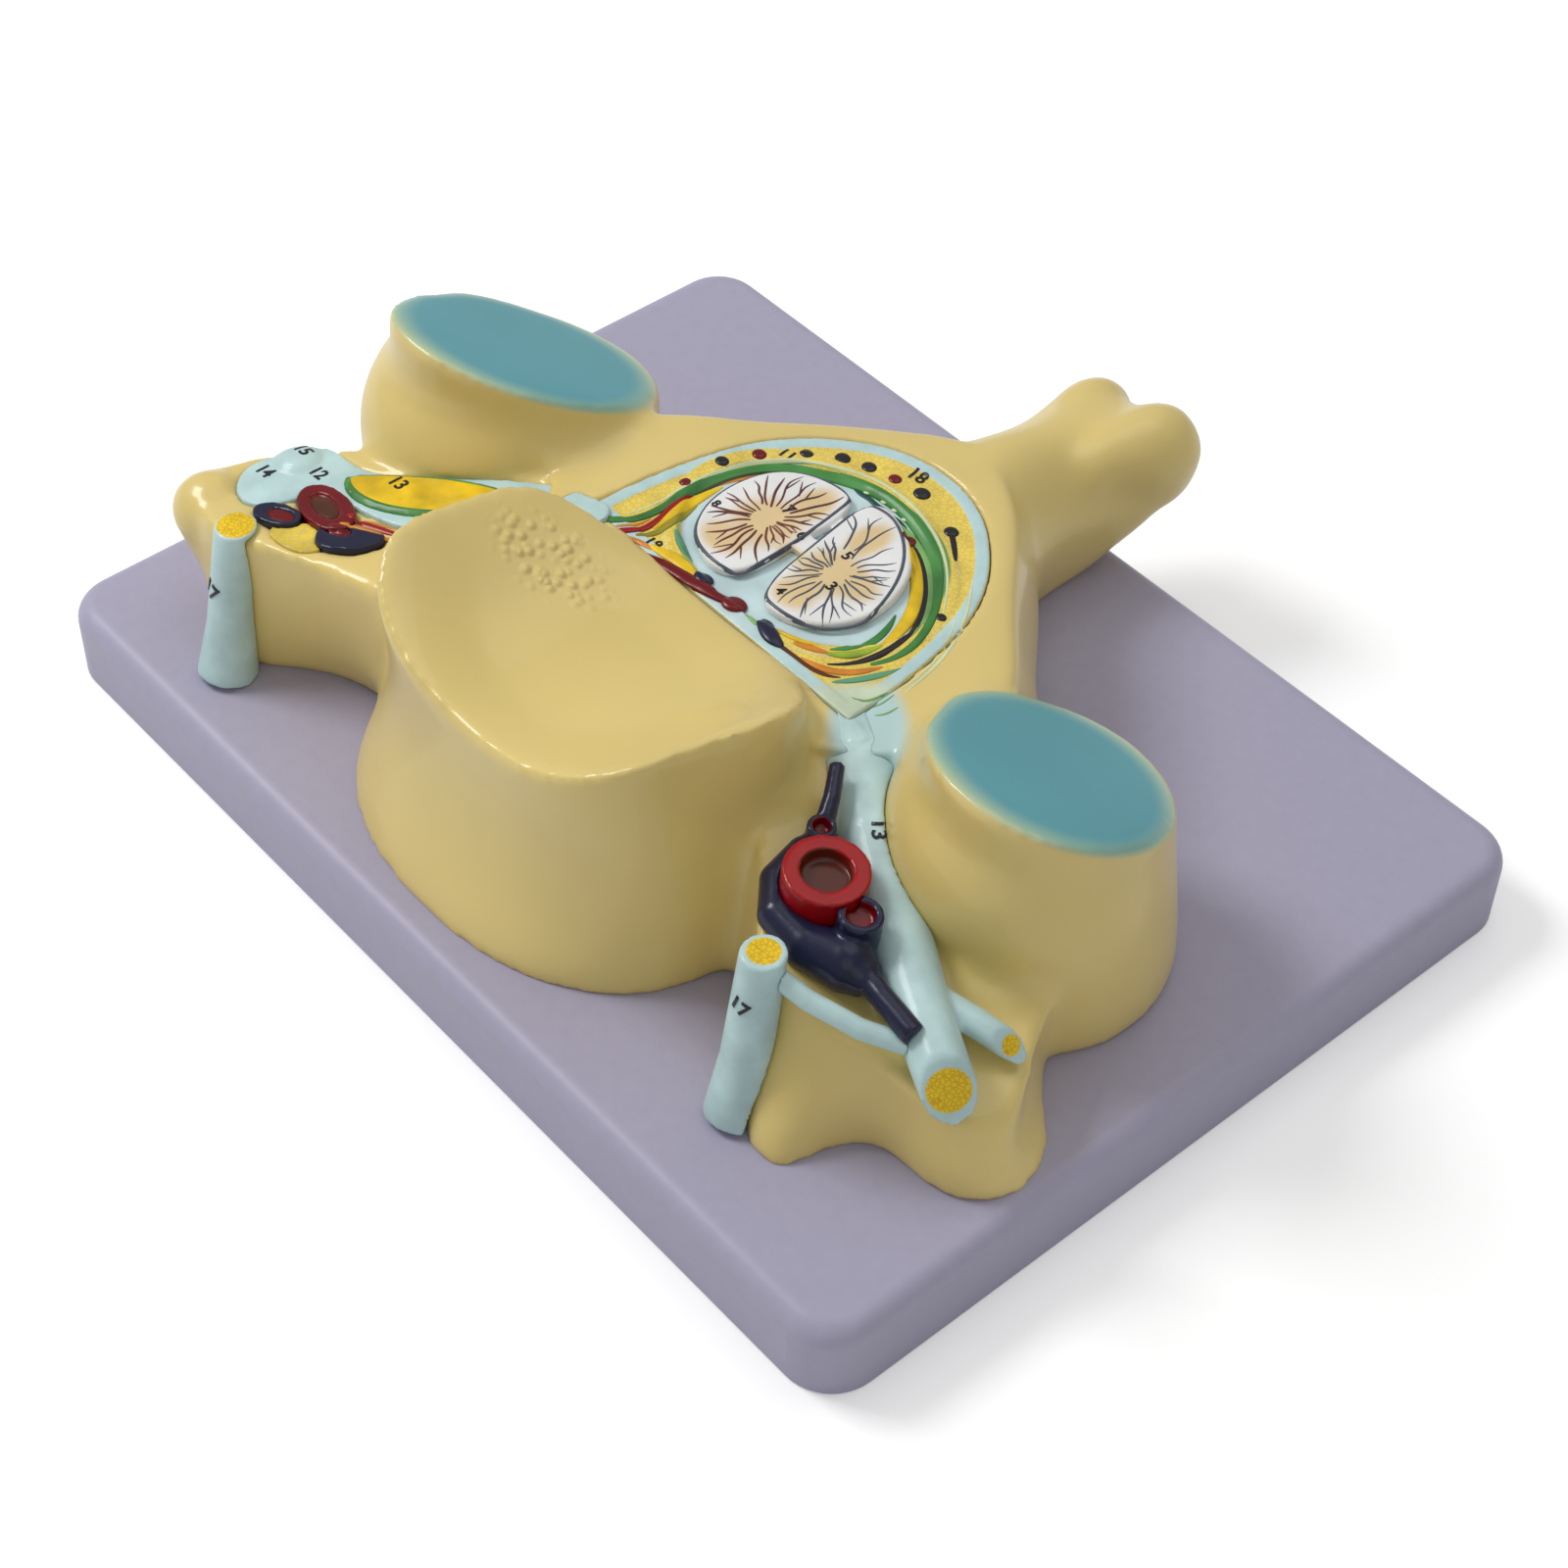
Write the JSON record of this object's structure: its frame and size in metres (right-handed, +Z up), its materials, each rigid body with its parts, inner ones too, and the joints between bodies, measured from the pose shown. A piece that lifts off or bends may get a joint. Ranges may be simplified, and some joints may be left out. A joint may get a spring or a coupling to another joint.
{
  "type": "spine anatomy model",
  "caption": "Enlarged neck vertebra teaching model, cut level through the canal, with cord, nerves and vessels on a rectangular base plate",
  "frame": {"origin": "bottom centre of the whole model's bounding box, on the surface it stands on", "axes": "X runs along the base plate's long side, +Y points to the spinous process, +Z is up"},
  "size_m": [0.35, 0.282, 0.1105],
  "materials": {
    "plate_grey": "moulded plastic, pale lavender grey, satin",
    "screw_steel": "zinc-plated steel screw",
    "bone_cream": "cast plastic painted cream, satin gloss, with teal joint facets",
    "canal_paint": "cast plastic hand-painted pale blue, yellow, green and red",
    "cord_white": "cast plastic painted white with tan grey matter and fine lines",
    "nerve_blue": "cast plastic painted pale blue, yellow at the cut ends",
    "ganglion_yellow": "cast plastic painted warm yellow",
    "artery_red": "cast plastic painted dark red",
    "vein_navy": "cast plastic painted navy blue"
  },
  "bodies": {
    "root": {"base_plate": "plate_grey", "mounting_screws": "screw_steel", "vertebra": "bone_cream", "canal_section": "canal_paint", "spinal_cord": "cord_white", "nerve_section_left": "nerve_blue", "ganglion_left": "ganglion_yellow", "vertebral_artery_left": "artery_red", "vertebral_veins_left": "vein_navy", "fat_patch_left": "ganglion_yellow", "sympathetic_trunk_left": "nerve_blue", "sympathetic_trunk_right": "nerve_blue", "spinal_nerve_right": "nerve_blue", "vertebral_artery_right": "artery_red", "vertebral_veins_right": "vein_navy", "communicating_branch_right": "nerve_blue"}
  },
  "joints": []
}
